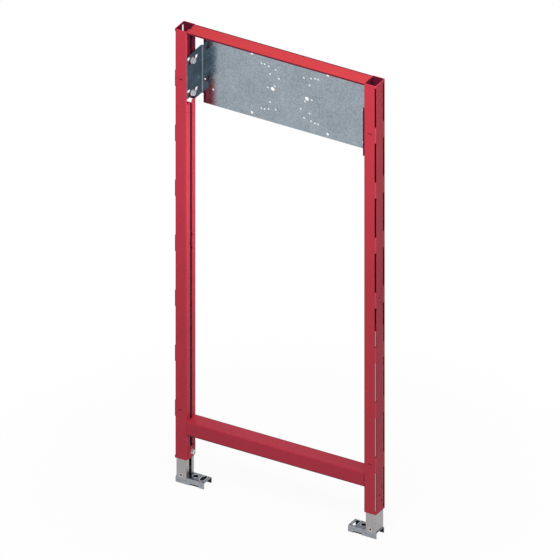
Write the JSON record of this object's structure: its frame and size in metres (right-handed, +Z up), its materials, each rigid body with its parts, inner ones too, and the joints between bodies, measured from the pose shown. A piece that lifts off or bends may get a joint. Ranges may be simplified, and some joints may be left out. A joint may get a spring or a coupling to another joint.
{
  "type": "sanitaryware support frame",
  "caption": "Upright red steel frame with slotted posts and telescopic feet that carries a perforated zinc fixing plate for wall-hung fittings behind a boarded wall.",
  "frame": {"origin": "on the floor, on the bearing edge of the left foot's front flange, under the leg", "axes": "+X along the frame to the right foot, +Y from the front to the wall, +Z up"},
  "size_m": [0.5, 0.064, 1.125],
  "materials": {
    "red_coat": "satin red powder coat on steel",
    "zinc_sheet": "hot-dip galvanised sheet with a fine spangle",
    "zinc_tube": "strip-galvanised steel profile",
    "zinc_bolt": "bright zinc plate",
    "rubber_pad": "black sound-damping rubber"
  },
  "bodies": {
    "left_foot": {"left_foot": "zinc_sheet", "left_foot_pad": "rubber_pad", "left_leg": "zinc_tube", "left_leg_rivet": "zinc_bolt"},
    "frame": {"top_rail": "red_coat", "bottom_rail": "red_coat", "left_post": "red_coat", "left_clamp_plate": "red_coat", "left_clamp_bolt": "zinc_bolt", "left_clamp_nut": "zinc_bolt", "left_lower_plate_bolt": "zinc_bolt", "left_upper_plate_bolt": "zinc_bolt", "left_lower_channel_nut": "zinc_bolt", "left_upper_channel_nut": "zinc_bolt", "right_post": "red_coat", "right_clamp_plate": "red_coat", "right_clamp_bolt": "zinc_bolt", "right_clamp_nut": "zinc_bolt", "right_lower_plate_bolt": "zinc_bolt", "right_upper_plate_bolt": "zinc_bolt", "right_lower_channel_nut": "zinc_bolt", "right_upper_channel_nut": "zinc_bolt"},
    "plate_carriage": {"mounting_plate": "zinc_sheet"},
    "right_foot": {"right_foot": "zinc_sheet", "right_foot_pad": "rubber_pad", "right_leg": "zinc_tube", "right_leg_rivet": "zinc_bolt"}
  },
  "joints": [
    {"name": "frame_height", "type": "slide", "parent": "left_foot", "child": "frame", "axis": [0, 0, 1], "range_m": [-0.026, 0.14]},
    {"name": "right_leg_draw", "type": "slide", "parent": "frame", "child": "right_foot", "axis": [0, 0, -1], "range_m": [-0.026, 0.14]},
    {"name": "plate_depth", "type": "slide", "parent": "frame", "child": "plate_carriage", "axis": [0, -1, 0], "range_m": [-0.0117, 0.0217]}
  ],
  "couplings": [
    {"joint": "right_leg_draw", "follows": "frame_height", "ratio": 1}
  ]
}
